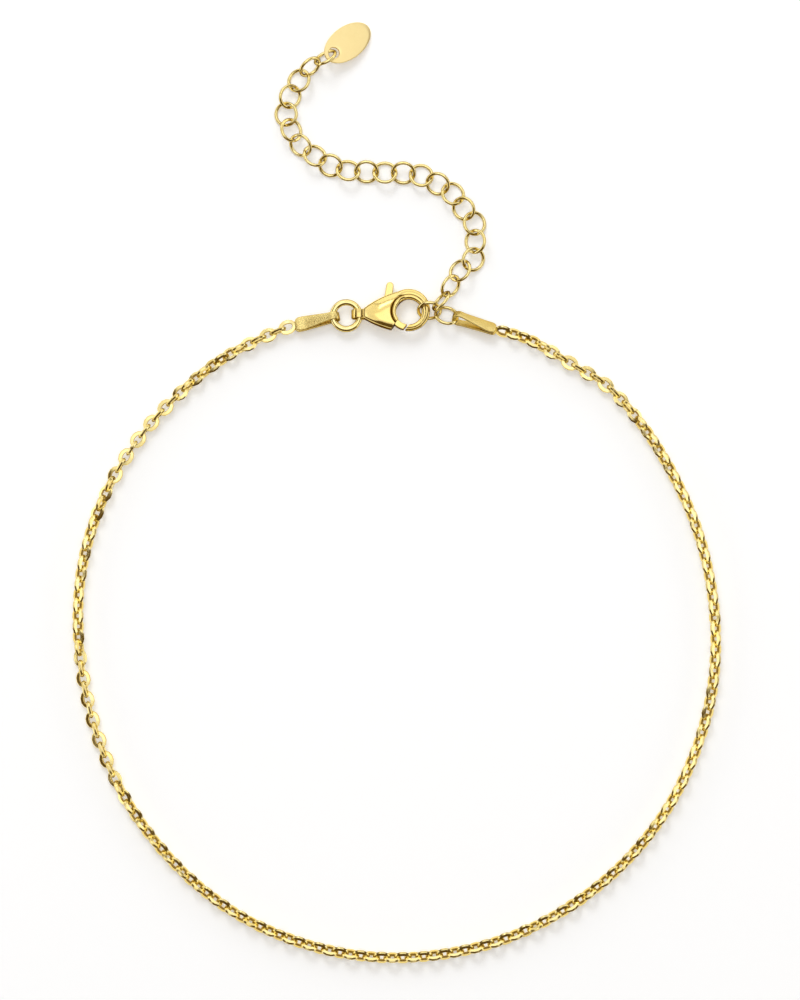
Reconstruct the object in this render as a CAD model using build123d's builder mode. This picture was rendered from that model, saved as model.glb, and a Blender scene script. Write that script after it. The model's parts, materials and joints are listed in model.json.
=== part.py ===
"""A gold chain anklet, clasped and lying on a flat surface, with its extender chain.

Millimetres, +Z up, with Z = 0 on the surface. +X is to the right and +Y towards the clasp.
The loop runs from the left end tag round the front to the right end tag, and closes through
the jump ring, the lobster clasp and the extender's second ring.
"""

from build123d import *
import math
import os

# ---- driving dimensions ----
chain_width = 1.8  # across the main chain's links
chain_height = chain_width / 2  # its middle above the surface

ring_radius = 1.38  # extender rings, to the middle of the wire
ring_wire = 0.41

jump_radius = 1.67  # the heavy ring between the left tag and the clasp
jump_wire = 0.78
jump_centre = (-6.28, 22.15, 1.12)

tag_sheet = 0.22  # end tags: a strip folded round a ring
tag_fold = 0.62  # inner radius of the fold
tag_neck = 1.00  # width at the fold
tag_wide = 1.75  # width at the chain
tag_upper = 4.45  # length of the upper leaf, from the middle of the fold
tag_lower = 4.95  # length of the lower leaf
tag_close = 3.60  # where the leaves come together
tag_slit = 0.06  # half the gap that is left there
tag_round = 0.60  # corner radius of the leaves
left_tag_at = (-7.93, 21.95, 1.12)  # the middle of its fold
left_tag_heading = 191.5
left_tag_roll = 8
left_tag_slope = 2.5
right_tag_at = (7.80, 21.82, 1.17)
right_tag_heading = -17.0
right_tag_roll = -46
right_tag_slope = 2.0

clasp_centre = (1.61, 22.73, 1.33)  # middle of the hook's ring
clasp_lean = -10  # the clasp lies tipped, with its front edge up
hook_outer = 2.66
hook_hole = 1.62
hook_thick = 1.02
hook_bevel = 0.26
body_thick = 1.96
dome_edge = 0.62  # half the thickness where the dome runs out
clasp_reach = 4.2  # more than the clasp's half width
slot_height = 1.10  # room for the gate between the cheeks
gate_thick = 0.96
pivot = (-2.95, -0.20)
pin_radius = 0.28
pin_length = 1.60
pin_play = 0.02
gate_play = 0.03
boss_radius = 0.62
lever_tip = 3.17  # middle of the thumb lever's rounded end
lever_round = 0.46
gate_reach = 3.10  # from the pivot to the gate's tip
gate_gap = 0.25  # between the gate's tip and the hook's
eye_centre = (-6.31, -0.38, -0.22)
eye_inner = 0.64
eye_wall = 0.30
eye_width = 1.15

oval_length = 6.82
oval_width = 4.10
oval_sheet = 0.30
oval_hole = 0.675
oval_hole_offset = 2.22  # from the middle of the tag, along it
oval_heading = 38  # degrees, the way its far end points
oval_slope = 12.5  # degrees that it leans down to the surface
oval_hole_at = (-7.84, 54.94, 1.40)

# The main chain's route, from the left tag round the front to the right tag.
CHAIN_ROUTE = [
    (-12.98, 20.97),
    (-15.30, 20.05),
    (-17.90, 18.90),
    (-20.45, 17.60),
    (-22.80, 16.10),
    (-26.15, 13.45),
    (-31.15, 8.40),
    (-35.20, 2.55),
    (-38.10, -3.95),
    (-39.70, -10.80),
    (-39.90, -17.80),
    (-39.00, -24.70),
    (-37.15, -31.35),
    (-34.35, -37.70),
    (-30.45, -43.40),
    (-25.70, -48.50),
    (-20.10, -52.75),
    (-13.75, -55.75),
    (-6.95, -57.65),
    (0.05, -58.25),
    (7.10, -57.60),
    (13.90, -55.80),
    (20.25, -52.75),
    (26.00, -48.70),
    (30.95, -43.75),
    (34.95, -37.95),
    (37.80, -31.55),
    (39.60, -24.80),
    (40.05, -17.80),
    (39.35, -10.90),
    (37.60, -4.15),
    (34.75, 2.20),
    (31.10, 8.20),
    (26.45, 13.60),
    (22.60, 15.65),
    (18.35, 18.30),
    (15.35, 19.75),
    (12.70, 20.36),
]

# The extender's rings, from the one in the right tag to the one in the oval tag:
# x and y of the middle, and the roll about the chain's line, left side up where positive.
EXTENDER = [
    (6.25, 22.18, 44),
    (4.11, 22.80, 46),
    (5.60, 24.00, 108),
    (6.75, 25.85, 50),
    (7.95, 27.80, -40),
    (9.60, 29.20, 27),
    (9.85, 31.45, -34),
    (9.75, 33.70, 24),
    (8.40, 35.55, -29),
    (7.05, 37.40, 26),
    (5.15, 38.65, -28),
    (3.10, 39.70, 23),
    (0.85, 40.00, -28),
    (-1.45, 40.05, 28),
    (-3.75, 40.15, -28),
    (-6.05, 40.30, 32),
    (-8.25, 40.95, -26),
    (-10.20, 42.15, 33),
    (-12.00, 43.45, -38),
    (-13.15, 45.35, 35),
    (-13.80, 47.35, -22),
    (-13.30, 49.55, 31),
    (-12.20, 51.55, -29),
    (-10.80, 53.25, 58),
    (-8.90, 54.40, -63),
]
HOOKED = 1  # the ring that the clasp closes on, which lies across the others
HOOKED_LIFT = 0.08


def lying_plane(origin, heading, roll=0.0, slope=0.0):
    """A plane whose x runs along a heading on the surface, pitched down by slope and rolled."""
    turned = Plane.XY.rotated((roll, slope, heading), Extrinsic.XYZ)
    return Plane(origin=origin, x_dir=turned.x_dir, z_dir=turned.z_dir)


def upright(plane):
    """The plane through the same origin that holds this plane's x and its normal."""
    return Plane(origin=plane.origin, x_dir=plane.x_dir, z_dir=-plane.y_dir)


def save(part, name):
    part.label = name
    export_step(part, f"parts/{name}.step")
    box = part.bounding_box()
    print(f"{name:18s} {part.volume:8.2f} mm3  z {box.min.Z:6.3f} to {box.max.Z:6.3f}")


def wire_ring(plane, radius, wire):
    with BuildPart(plane) as ring:
        Torus(radius, wire / 2)
    return ring.part


def bend_radii(points):
    """The largest smooth bend at each corner: 0.45 of the shorter run over tan of half the turn."""
    radii = []
    for before, here, after in zip(points, points[1:], points[2:]):
        turn = (here - before).get_angle(after - here)
        shorter = min((here - before).length, (after - here).length)
        radii.append(0.45 * shorter / math.tan(math.radians(turn / 2)))
    return radii


# ---- main chain: one tube along the links' middle ----
route_points = [Vector(x, y, chain_height) for x, y in CHAIN_ROUTE]
route_radii = bend_radii(route_points)
print("bend radii", [round(radius, 1) for radius in route_radii])
with BuildPart() as main_chain:
    with BuildLine() as route:
        FilletPolyline(*route_points, radius=route_radii)
    with BuildSketch(Plane(origin=route.line @ 0, z_dir=route.line % 0)):
        Circle(chain_width / 2)
    sweep()
save(main_chain.part, "main_chain")
route_length = sum(edge.length for edge in route.line.edges())
section = math.pi * (chain_width / 2) ** 2
print("route length", round(route_length, 1), "section x length", round(section * route_length, 1))


# ---- end tags: a strip folded in two round a ring, its leaves closed on the chain ----
def leaf_outline(plane, reach):
    """A tongue that widens from the fold to a rounded end."""
    back = -tag_fold - 2 * tag_sheet
    with BuildSketch(plane) as outline:
        with BuildLine():
            Polyline(
                (back, -tag_neck / 2),
                (tag_fold, -tag_neck / 2),
                (tag_close, -tag_wide / 2),
                (reach, -tag_wide / 2),
                (reach, tag_wide / 2),
                (tag_close, tag_wide / 2),
                (tag_fold, tag_neck / 2),
                (back, tag_neck / 2),
                close=True,
            )
        make_face()
        fillet(outline.vertices().group_by(Axis.X)[-1], tag_round)
    return outline.sketch


def folded_strip(side):
    """The strip seen from its edge: a loop whose two leaves run together."""
    outer = tag_fold + tag_sheet
    with BuildSketch(side) as strip:
        Circle(outer)
        with BuildLine():
            Polyline(
                (0, outer),
                (tag_close, tag_slit + tag_sheet),
                (tag_lower + 1, tag_slit + tag_sheet),
                (tag_lower + 1, -tag_slit - tag_sheet),
                (tag_close, -tag_slit - tag_sheet),
                (0, -outer),
                close=True,
            )
        make_face()
        Circle(tag_fold, mode=Mode.SUBTRACT)
        with BuildLine():
            Polyline(
                (0, tag_fold),
                (tag_close, tag_slit),
                (tag_lower + 1, tag_slit),
                (tag_lower + 1, -tag_slit),
                (tag_close, -tag_slit),
                (0, -tag_fold),
                close=True,
            )
        make_face(mode=Mode.SUBTRACT)
    return strip.sketch


def end_tag(plane):
    height = 2 * (tag_fold + tag_sheet)
    with BuildPart() as tag:
        extrude(leaf_outline(plane, tag_upper), amount=height, dir=plane.z_dir)
        extrude(leaf_outline(plane, tag_lower), amount=height, dir=-plane.z_dir)
        extrude(folded_strip(upright(plane)), amount=tag_wide, both=True, mode=Mode.INTERSECT)
    return tag.part


left_plane = lying_plane(left_tag_at, left_tag_heading, roll=left_tag_roll, slope=left_tag_slope)
right_plane = lying_plane(right_tag_at, right_tag_heading, roll=right_tag_roll, slope=right_tag_slope)
save(end_tag(left_plane), "left_end_tag")
save(end_tag(right_plane), "right_end_tag")

# ---- jump ring between the left tag and the clasp ----
save(wire_ring(lying_plane(jump_centre, 0), jump_radius, jump_wire), "jump_ring")

# ---- lobster clasp: body, gate with its thumb lever, and the pin it turns on ----
clasp_plane = lying_plane(clasp_centre, 0, roll=clasp_lean)
eye_place = clasp_plane.from_local_coords(Vector(eye_centre))
eye_plane = upright(Plane(origin=eye_place, x_dir=clasp_plane.x_dir, z_dir=clasp_plane.z_dir))

# points of its outline, on the clasp's own plane
tip_top = (-5.74, 0.20)
tip_low = (-5.74, -0.88)
shoulder_top = (-1.50, 2.40)
shoulder_end = (-0.90, 2.60)  # how far the cheeks run along the hook
ring_middle = (-0.07, 0.12)
hole_middle = (-0.07, -0.12)
cheek_end = (-1.75, -1.30)  # the line where the cheeks end and the gate shows
cheek_foot = (-2.25, -2.35)

with BuildPart() as cheeks:
    with BuildSketch(clasp_plane):
        with BuildLine():
            Line(tip_low, tip_top)
            ThreePointArc(tip_top, (-3.65, 1.55), shoulder_top)
            Polyline(shoulder_top, shoulder_end, ring_middle, cheek_foot)
            ThreePointArc(cheek_foot, (-4.00, -1.78), tip_low)
        make_face()
        with Locations(hole_middle):
            Circle(hook_hole, mode=Mode.SUBTRACT)
    extrude(amount=body_thick / 2, both=True)
    # domed across: thickest over the pin, thinner at the eye and at the hook
    with BuildSketch(upright(clasp_plane)):
        with BuildLine():
            ThreePointArc((-6.0, dome_edge), (-3.1, body_thick / 2), (0, dome_edge))
            Line((0, dome_edge), (0, -dome_edge))
            ThreePointArc((0, -dome_edge), (-3.1, -body_thick / 2), (-6.0, -dome_edge))
            Line((-6.0, -dome_edge), (-6.0, dome_edge))
        make_face()
    extrude(amount=clasp_reach, both=True, mode=Mode.INTERSECT)

with BuildPart() as clasp_body:
    with BuildSketch(clasp_plane):
        with Locations(ring_middle):
            Circle(hook_outer)
        with Locations(hole_middle):
            Circle(hook_hole, mode=Mode.SUBTRACT)
    extrude(amount=hook_thick / 2, both=True)
    chamfer(clasp_body.edges().filter_by(GeomType.CIRCLE), hook_bevel)
    add(cheeks.part)
    # slot for the gate and its lever, with room for the gate to swing 20 degrees
    with BuildSketch(clasp_plane):
        with BuildLine():
            Polyline(
                (-3.75, 0.10),
                (-4.75, clasp_reach),
                (-1.70, clasp_reach),
                (-1.70, 0.90),
                (-1.30, -0.20),
                (-1.30, -clasp_reach),
                (-3.40, -clasp_reach),
                close=True,
            )
        make_face()
    extrude(amount=slot_height / 2, both=True, mode=Mode.SUBTRACT)
    # eye for the jump ring, its hole across the clasp
    with BuildSketch(eye_plane):
        Circle(eye_inner + eye_wall)
    extrude(amount=eye_width / 2, both=True)
    with BuildSketch(eye_plane):
        Circle(eye_inner)
    extrude(amount=eye_width, both=True, mode=Mode.SUBTRACT)
    # the mouth, which the gate fills
    with BuildSketch(clasp_plane):
        with BuildLine():
            Polyline(
                hole_middle,
                cheek_end,
                cheek_foot,
                (-2.25, -clasp_reach),
                (2.00, -clasp_reach),
                (2.00, -1.20),
                close=True,
            )
        make_face()
        with Locations(pivot):
            Circle(gate_reach + gate_gap, mode=Mode.INTERSECT)
    extrude(amount=body_thick, both=True, mode=Mode.SUBTRACT)
    # seat for the pin in both cheeks
    with BuildSketch(clasp_plane):
        with Locations(pivot):
            Circle(pin_radius + pin_play)
    extrude(amount=pin_length / 2 + pin_play, both=True, mode=Mode.SUBTRACT)
save(clasp_body.part, "clasp_body")

with BuildPart() as clasp_pin:
    with BuildSketch(clasp_plane):
        with Locations(pivot):
            Circle(pin_radius)
    extrude(amount=pin_length / 2, both=True)
save(clasp_pin.part, "clasp_pin")

with BuildPart() as clasp_gate:
    # arm: the missing stretch of the hook's ring, and the web back to the pivot
    with BuildSketch(clasp_plane):
        with Locations(ring_middle):
            Circle(hook_outer - gate_play)
        with BuildLine():
            Polyline(
                pivot,
                (1.00, -1.00),
                (1.00, -clasp_reach),
                (-2.90, -clasp_reach),
                close=True,
            )
        make_face(mode=Mode.INTERSECT)
        with Locations(hole_middle):
            Circle(hook_hole + gate_play, mode=Mode.SUBTRACT)
        with Locations(pivot):
            Circle(gate_reach, mode=Mode.INTERSECT)
    extrude(amount=gate_thick / 2, both=True)
    # boss round the pin, and the thumb lever
    with BuildSketch(clasp_plane):
        with Locations(pivot):
            Circle(boss_radius)
        with BuildLine():
            Polyline((-3.50, -0.20), (-2.89, lever_tip), (-1.97, lever_tip), (-2.40, -0.60), close=True)
        make_face()
        with Locations((-2.43, lever_tip)):
            Circle(lever_round)
        with Locations(pivot):
            Circle(pin_radius + gate_play, mode=Mode.SUBTRACT)
    extrude(amount=gate_thick / 2, both=True)
    with BuildSketch(clasp_plane):
        with Locations(pivot):
            Circle(pin_radius + gate_play)
    extrude(amount=gate_thick, both=True, mode=Mode.SUBTRACT)
save(clasp_gate.part, "clasp_gate")
hinge = clasp_plane.from_local_coords(Vector(*pivot, 0))
print("gate hinge at", hinge, "along", clasp_plane.z_dir)


# ---- extender chain: rings linked through each other, each leaning on the surface ----
def ring_heading(index):
    """The way the chain runs past a ring, from the ring before it to the ring after it."""
    if index == HOOKED:
        return 0
    stops = [(x, y) for x, y, roll in EXTENDER] + [oval_hole_at[:2]]
    before = stops[max(index - 1, 0)]
    after = stops[index + 1]
    return math.degrees(math.atan2(after[1] - before[1], after[0] - before[0]))


for index, (x, y, roll) in enumerate(EXTENDER):
    height = ring_radius * abs(math.sin(math.radians(roll))) + ring_wire / 2 + 0.01
    if index == HOOKED:
        height += HOOKED_LIFT
    plane = lying_plane((x, y, height), ring_heading(index), roll=roll)
    save(wire_ring(plane, ring_radius, ring_wire), f"extender_ring_{index + 1:02d}")

# ---- oval tag at the extender's end ----
hole_plane = lying_plane(oval_hole_at, oval_heading, slope=oval_slope)
with BuildPart() as oval_tag:
    with BuildSketch(hole_plane):
        with Locations((oval_hole_offset, 0)):
            Ellipse(oval_length / 2, oval_width / 2)
        Circle(oval_hole, mode=Mode.SUBTRACT)
    extrude(amount=oval_sheet / 2, both=True)
    chamfer(oval_tag.edges().filter_by(GeomType.ELLIPSE), 0.05)
save(oval_tag.part, "oval_tag")
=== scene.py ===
# %% [markdown]
# # A gold chain anklet, lying clasped on a white table
# This lesson builds the polished surfaces of a small piece of jewellery round a CAD model.
# The CAD model says where each ring, tag and clasp lies. Here each of them gets its fine,
# rounded surface, the chain gets its links, and everything gets its metal.

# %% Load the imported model
import json
import math

import bpy
import numpy as np
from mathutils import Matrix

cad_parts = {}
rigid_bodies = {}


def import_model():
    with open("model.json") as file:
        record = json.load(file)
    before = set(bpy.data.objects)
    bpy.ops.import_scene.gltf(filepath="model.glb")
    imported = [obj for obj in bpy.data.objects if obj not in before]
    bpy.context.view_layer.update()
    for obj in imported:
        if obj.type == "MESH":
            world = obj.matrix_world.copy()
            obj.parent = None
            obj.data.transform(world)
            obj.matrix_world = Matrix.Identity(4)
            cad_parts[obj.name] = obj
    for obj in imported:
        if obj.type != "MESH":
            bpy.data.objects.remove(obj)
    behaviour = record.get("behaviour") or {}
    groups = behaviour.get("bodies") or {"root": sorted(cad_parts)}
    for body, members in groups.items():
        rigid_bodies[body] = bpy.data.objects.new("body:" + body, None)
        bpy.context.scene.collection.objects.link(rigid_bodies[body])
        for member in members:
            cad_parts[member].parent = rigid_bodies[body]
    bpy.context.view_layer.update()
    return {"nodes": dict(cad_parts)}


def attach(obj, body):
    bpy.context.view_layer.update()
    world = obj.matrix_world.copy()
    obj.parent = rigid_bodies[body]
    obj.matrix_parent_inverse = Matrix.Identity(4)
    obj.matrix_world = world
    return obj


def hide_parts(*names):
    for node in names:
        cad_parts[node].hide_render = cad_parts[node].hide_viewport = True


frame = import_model()
MM = 0.001  # all sizes below are in millimetres and become metres when a mesh is made

# %% [markdown]
# ## Camera
# Jewellery is best shown from straight above with a long lens, so that rings stay round and
# nothing leans. A long lens far away could be replaced by an orthographic camera, but the lens
# keeps the slight perspective that a real view has.

# %% Camera
view_height = 125.0  # the stretch of table that fills the frame from top to bottom
view_middle = (0.44, -0.88)
lens, sensor = 240.0, 36.0
camera_data = bpy.data.cameras.new("camera")
camera_data.lens = lens
camera_data.sensor_width = sensor
camera_data.clip_start, camera_data.clip_end = 0.01, 20.0
camera = bpy.data.objects.new("camera", camera_data)
camera_height = view_height * lens / sensor + 1.0
camera.location = (view_middle[0] * MM, view_middle[1] * MM, camera_height * MM)
bpy.context.scene.collection.objects.link(camera)
bpy.context.scene.camera = camera
print("camera height in mm:", round(camera_height, 1))

# %% [markdown]
# ## Tools for surfaces
# Every piece is a grid of points: rows along the piece and columns round its section. One
# helper joins such a grid with four-sided faces, and another turns points and faces into an
# object. Numpy works out all points of a grid at once.


# %% A grid of faces, and an object made of grids
def grid_faces(rows, columns, close_rows=False, close_columns=True):
    """Four corners for each cell of a grid that is numbered row by row."""
    r = np.arange(rows if close_rows else rows - 1)
    c = np.arange(columns if close_columns else columns - 1)
    a, b = np.meshgrid(r, c, indexing="ij")
    a_next, b_next = (a + 1) % rows, (b + 1) % columns
    here, beyond = a * columns, a_next * columns
    corners = [here + b, beyond + b, beyond + b_next, here + b_next]
    return np.stack(corners, axis=-1).reshape(-1, 4).tolist()


def closed_loft(points):
    """A grid whose columns close round, with a flat face over its first and its last row."""
    rows, columns = points.shape[:2]
    first, last = np.arange(columns), np.arange(columns) + (rows - 1) * columns
    return points.reshape(-1, 3), grid_faces(rows, columns) + [first.tolist(), last[::-1].tolist()]


def outward(points, faces):
    """The same faces, turned over if the volume that they enclose comes out negative."""
    fans = np.array([(f[0], f[i], f[i + 1]) for f in faces for i in range(1, len(f) - 1)])
    a, b, c = points[fans[:, 0]], points[fans[:, 1]], points[fans[:, 2]]
    volume = np.einsum("ij,ij->i", a, np.cross(b, c)).sum() / 6
    return faces if volume > 0 else [face[::-1] for face in faces]


def solid(name, parts, crease=35.0):
    """A mesh object of closed shells, each given as points in mm and faces.
    It is smooth, except at edges that turn by more than the crease angle."""
    points, faces, start = [], [], 0
    for part_points, part_faces in parts:
        part_faces = outward(part_points, part_faces)
        points.append(part_points)
        faces += [[start + i for i in face] for face in part_faces]
        start += len(part_points)
    mesh = bpy.data.meshes.new(name)
    mesh.from_pydata((np.concatenate(points) * MM).tolist(), [], faces)
    mesh.polygons.foreach_set("use_smooth", np.ones(len(faces), bool))
    mesh.set_sharp_from_angle(angle=math.radians(crease))
    thing = bpy.data.objects.new(name, mesh)
    bpy.context.scene.collection.objects.link(thing)
    return thing


def mark_painted_shade(thing, amount):
    """Stores at each point how much painted shade it gets, from 0 to 1, for the material."""
    attribute = thing.data.attributes.new("painted_shade", "FLOAT", "POINT")
    attribute.data.foreach_set("value", np.clip(amount, 0, 1).astype(np.float32).ravel())


print("a 3 by 4 grid closed round has", len(grid_faces(3, 4)), "faces")

# %% [markdown]
# ## Places
# Rings, tags and the clasp lie on the table at an angle: each has a heading, a roll about
# that heading and a slope down along it. One function gives the three directions of such a
# place, and another puts a shape's own points there.


# %% A place that lies on the table
def lying(origin, heading, roll=0.0, slope=0.0):
    """Origin and directions: turned by roll about x, then by slope about y, then by heading
    about z. A positive roll lifts the left side, and a positive slope lowers the far end."""
    h, r, s = (math.radians(v) for v in (heading, roll, slope))
    about_x = np.array([[1, 0, 0], [0, math.cos(r), -math.sin(r)], [0, math.sin(r), math.cos(r)]])
    about_y = np.array([[math.cos(s), 0, math.sin(s)], [0, 1, 0], [-math.sin(s), 0, math.cos(s)]])
    about_z = np.array([[math.cos(h), -math.sin(h), 0], [math.sin(h), math.cos(h), 0], [0, 0, 1]])
    return np.array(origin, float), (about_z @ about_y @ about_x).T


def put(place, shape):
    """A shape's points carried from its own directions to the place's."""
    origin, directions = place
    points, faces = shape
    return origin + points @ directions, faces


def arc_points(middle, radius, start, end, count):
    """Points of a circular arc in the plane, from one angle in degrees to another."""
    angle = np.radians(np.linspace(start, end, count))
    return np.stack([middle[0] + radius * np.cos(angle), middle[1] + radius * np.sin(angle)], -1)


def arc_through(a, b, c, count):
    """Points of the circle through three points, from the first to the last."""
    (ax, ay), (bx, by), (cx, cy) = a, b, c
    d = 2 * (ax * (by - cy) + bx * (cy - ay) + cx * (ay - by))
    aa, bb, cc = ax**2 + ay**2, bx**2 + by**2, cx**2 + cy**2
    x = (aa * (by - cy) + bb * (cy - ay) + cc * (ay - by)) / d
    y = (aa * (cx - bx) + bb * (ax - cx) + cc * (bx - ax)) / d
    start, end = math.atan2(ay - y, ax - x), math.atan2(cy - y, cx - x)
    turn = (end - start + math.pi) % (2 * math.pi) - math.pi
    radius = math.hypot(ax - x, ay - y)
    return arc_points((x, y), radius, math.degrees(start), math.degrees(start + turn), count)


print("directions at heading 90:", lying((0, 0, 0), 90)[1].round(2).tolist())

# %% [markdown]
# ## Metal
# Polished gold is nearly all reflection, so its look comes from what stands round it. The
# material adds what a real surface has: a colour that drifts a little where the plating is
# thicker, polishing haze that makes the gloss uneven, and very fine marks. Hollows and upright
# flanks get painted shade: they are coloured darker and made duller, by an amount that the
# meshes store point by point in an attribute. A nearly black edge colour paints more shade
# where the surface turns away from the eye. Writing the node arithmetic as Python expressions
# keeps such a recipe readable.


# %% Node arithmetic
class Wire:
    """A value in a node tree. Using + or * on it adds the Math node that does so."""

    def __init__(self, tree, socket):
        self.tree, self.socket = tree, socket

    def _with(self, operation, first, second):
        node = self.tree.nodes.new("ShaderNodeMath")
        node.operation = operation
        for value, slot in ((first, node.inputs[0]), (second, node.inputs[1])):
            if isinstance(value, Wire):
                self.tree.links.new(value.socket, slot)
            else:
                slot.default_value = value
        return Wire(self.tree, node.outputs[0])

    def __add__(self, other):
        return self._with("ADD", self, other)

    def __radd__(self, other):
        return self._with("ADD", other, self)

    def __mul__(self, other):
        return self._with("MULTIPLY", self, other)

    def __rmul__(self, other):
        return self._with("MULTIPLY", other, self)


class Finish:
    """The look of a material or of the world, under construction."""

    def __init__(self, owner):
        self.owner = owner
        owner.use_nodes = True
        self.tree = owner.node_tree
        self.tree.nodes.clear()

    def node(self, kind, settings, sockets, output):
        """Adds a node: first its settings, then the values or links of its sockets."""
        node = self.tree.nodes.new(kind)
        for name, value in settings.items():
            setattr(node, name, value)
        for name, value in sockets.items():
            if isinstance(value, Wire):
                self.tree.links.new(value.socket, node.inputs[name])
            else:
                node.inputs[name].default_value = value
        return Wire(self.tree, node.outputs[output])

    def noise(self, size, detail=2.0, rough=0.5):
        """Cloudy noise from 0 to 1, with blobs of a size in millimetres."""
        place = self.node("ShaderNodeTexCoord", {}, {}, "Object")
        sockets = {"Vector": place, "Scale": 1 / (size * MM), "Detail": detail, "Roughness": rough}
        return self.node("ShaderNodeTexNoise", {}, sockets, "Fac")

    def mix(self, amount, first, second):
        """One colour turning into another as the amount goes from 0 to 1."""
        node = self.tree.nodes.new("ShaderNodeMix")
        node.data_type = "RGBA"
        self.tree.links.new(amount.socket, node.inputs[0])
        sockets = [socket for socket in node.inputs if socket.type == "RGBA"]
        for value, socket in zip((first, second), sockets):
            if isinstance(value, Wire):
                self.tree.links.new(value.socket, socket)
            else:
                socket.default_value = (*value, 1.0)
        return Wire(self.tree, next(s for s in node.outputs if s.type == "RGBA"))

    def metal(self, colour, roughness, height, depth, edge=(1.0, 1.0, 1.0)):
        """Finishes the material as bare metal, with a bump of a depth in millimetres. The edge
        colour tints what is seen at a glancing angle."""
        bump = {"Strength": 1.0, "Distance": depth * MM, "Height": height}
        normal = self.node("ShaderNodeBump", {}, bump, "Normal")
        sockets = {"Base Color": colour, "Metallic": 1.0, "Roughness": roughness, "Normal": normal}
        sockets["Specular Tint"] = (*edge, 1.0)
        return self.close(self.node("ShaderNodeBsdfPrincipled", {}, sockets, "BSDF"))

    def choose(self, amount, first, second):
        """One shader turning into another as the amount goes from 0 to 1."""
        sockets = {0: amount, 1: first, 2: second}
        return self.node("ShaderNodeMixShader", {}, sockets, "Shader")

    def close(self, shader, kind="ShaderNodeOutputMaterial"):
        """Joins the shader to the output and gives back what the finish belongs to."""
        out = self.tree.nodes.new(kind)
        self.tree.links.new(shader.socket, out.inputs["Surface"])
        return self.owner


def polished_gold(name, warm, pale, gloss, mark_size=0.5, mark_depth=0.003, edge=(1, 1, 1)):
    """Plated gold: two shades that drift into each other, haze in the gloss, and fine marks.
    Where the painted shade attribute is 1, the colour is painted dark shade and the gloss is
    duller."""
    finish = Finish(bpy.data.materials.new(name))
    drift = finish.noise(2.2, 2.0)
    haze = finish.noise(0.35, 3.0)
    marks = finish.noise(mark_size, 4.0, 0.65)
    # painted shade: where the attribute is high, the colour turns dark brown and the gloss duller
    painted_shade = finish.node("ShaderNodeAttribute", {"attribute_name": "painted_shade"}, {}, "Fac")
    colour = finish.mix(painted_shade, finish.mix(drift, warm, pale), PAINTED_SHADE_COLOUR)
    gloss = gloss * (0.7 + 0.6 * haze) + 0.2 * painted_shade
    return finish.metal(colour, gloss, marks, mark_depth, edge)


PAINTED_SHADE_COLOUR = (0.26, 0.14, 0.02)  # painted shade for hollows and upright flanks
PAINTED_RIM_SHADE = (0.10, 0.05, 0.01)  # edge tint of the gloss, nearly black: painted shade on glancing reflections, which outlines wires and edges in dark
LINK_WARM, LINK_PALE = (0.97, 0.80, 0.28), (1.0, 0.90, 0.50)
WIRE_WARM, WIRE_PALE = (0.98, 0.79, 0.27), (1.0, 0.91, 0.50)
CAST_WARM, CAST_PALE = (0.91, 0.70, 0.20), (0.99, 0.82, 0.36)
GRAIN_DARK, GRAIN_PALE = (0.58, 0.38, 0.08), (1.0, 0.90, 0.42)
SATIN_WARM, SATIN_PALE = (0.93, 0.76, 0.35), (1.0, 0.84, 0.43)
link_gold = polished_gold("diamond_cut_gold", LINK_WARM, LINK_PALE, 0.16, 0.3)
ring_gold = polished_gold("drawn_wire_gold", WIRE_WARM, WIRE_PALE, 0.10, edge=PAINTED_RIM_SHADE)
clasp_gold = polished_gold("cast_gold", CAST_WARM, CAST_PALE, 0.13, 0.8, 0.0015, PAINTED_RIM_SHADE)


def grained_gold(name):
    """Strip with a fine grain all over, which scatters the light: grains of about 0.16 mm."""
    finish = Finish(bpy.data.materials.new(name))
    grain = finish.noise(0.16, 2.0, 0.6)
    drift = finish.noise(1.1, 2.0)
    colour = finish.mix(drift * 0.4 + grain * 0.6, GRAIN_DARK, GRAIN_PALE)
    return finish.metal(colour, 0.16 + 0.12 * grain, grain, 0.028, PAINTED_RIM_SHADE)


def satin_gold(name):
    """Rolled sheet with a satin face: a soft gloss with faint clouds."""
    finish = Finish(bpy.data.materials.new(name))
    cloud = finish.noise(0.7, 3.0)
    rub = finish.noise(0.12, 3.0, 0.7)
    colour = finish.mix(cloud, SATIN_WARM, SATIN_PALE)
    return finish.metal(colour, 0.27 + 0.12 * cloud, rub, 0.004)


tag_gold = grained_gold("grained_strip_gold")
oval_gold = satin_gold("satin_sheet_gold")
print("nodes in the polished gold:", len(ring_gold.node_tree.nodes))

# %% [markdown]
# ## The links of the main chain
# The chain is a flat oval cable chain: each link is a stamped oval with cut faces, and each
# one stands at a right angle to the next. There are far too many to place by hand, so one
# link is computed as a small grid, and a single array expression copies it to every place
# along the route. The route is a smooth curve through the table, read back from Blender.

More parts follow.
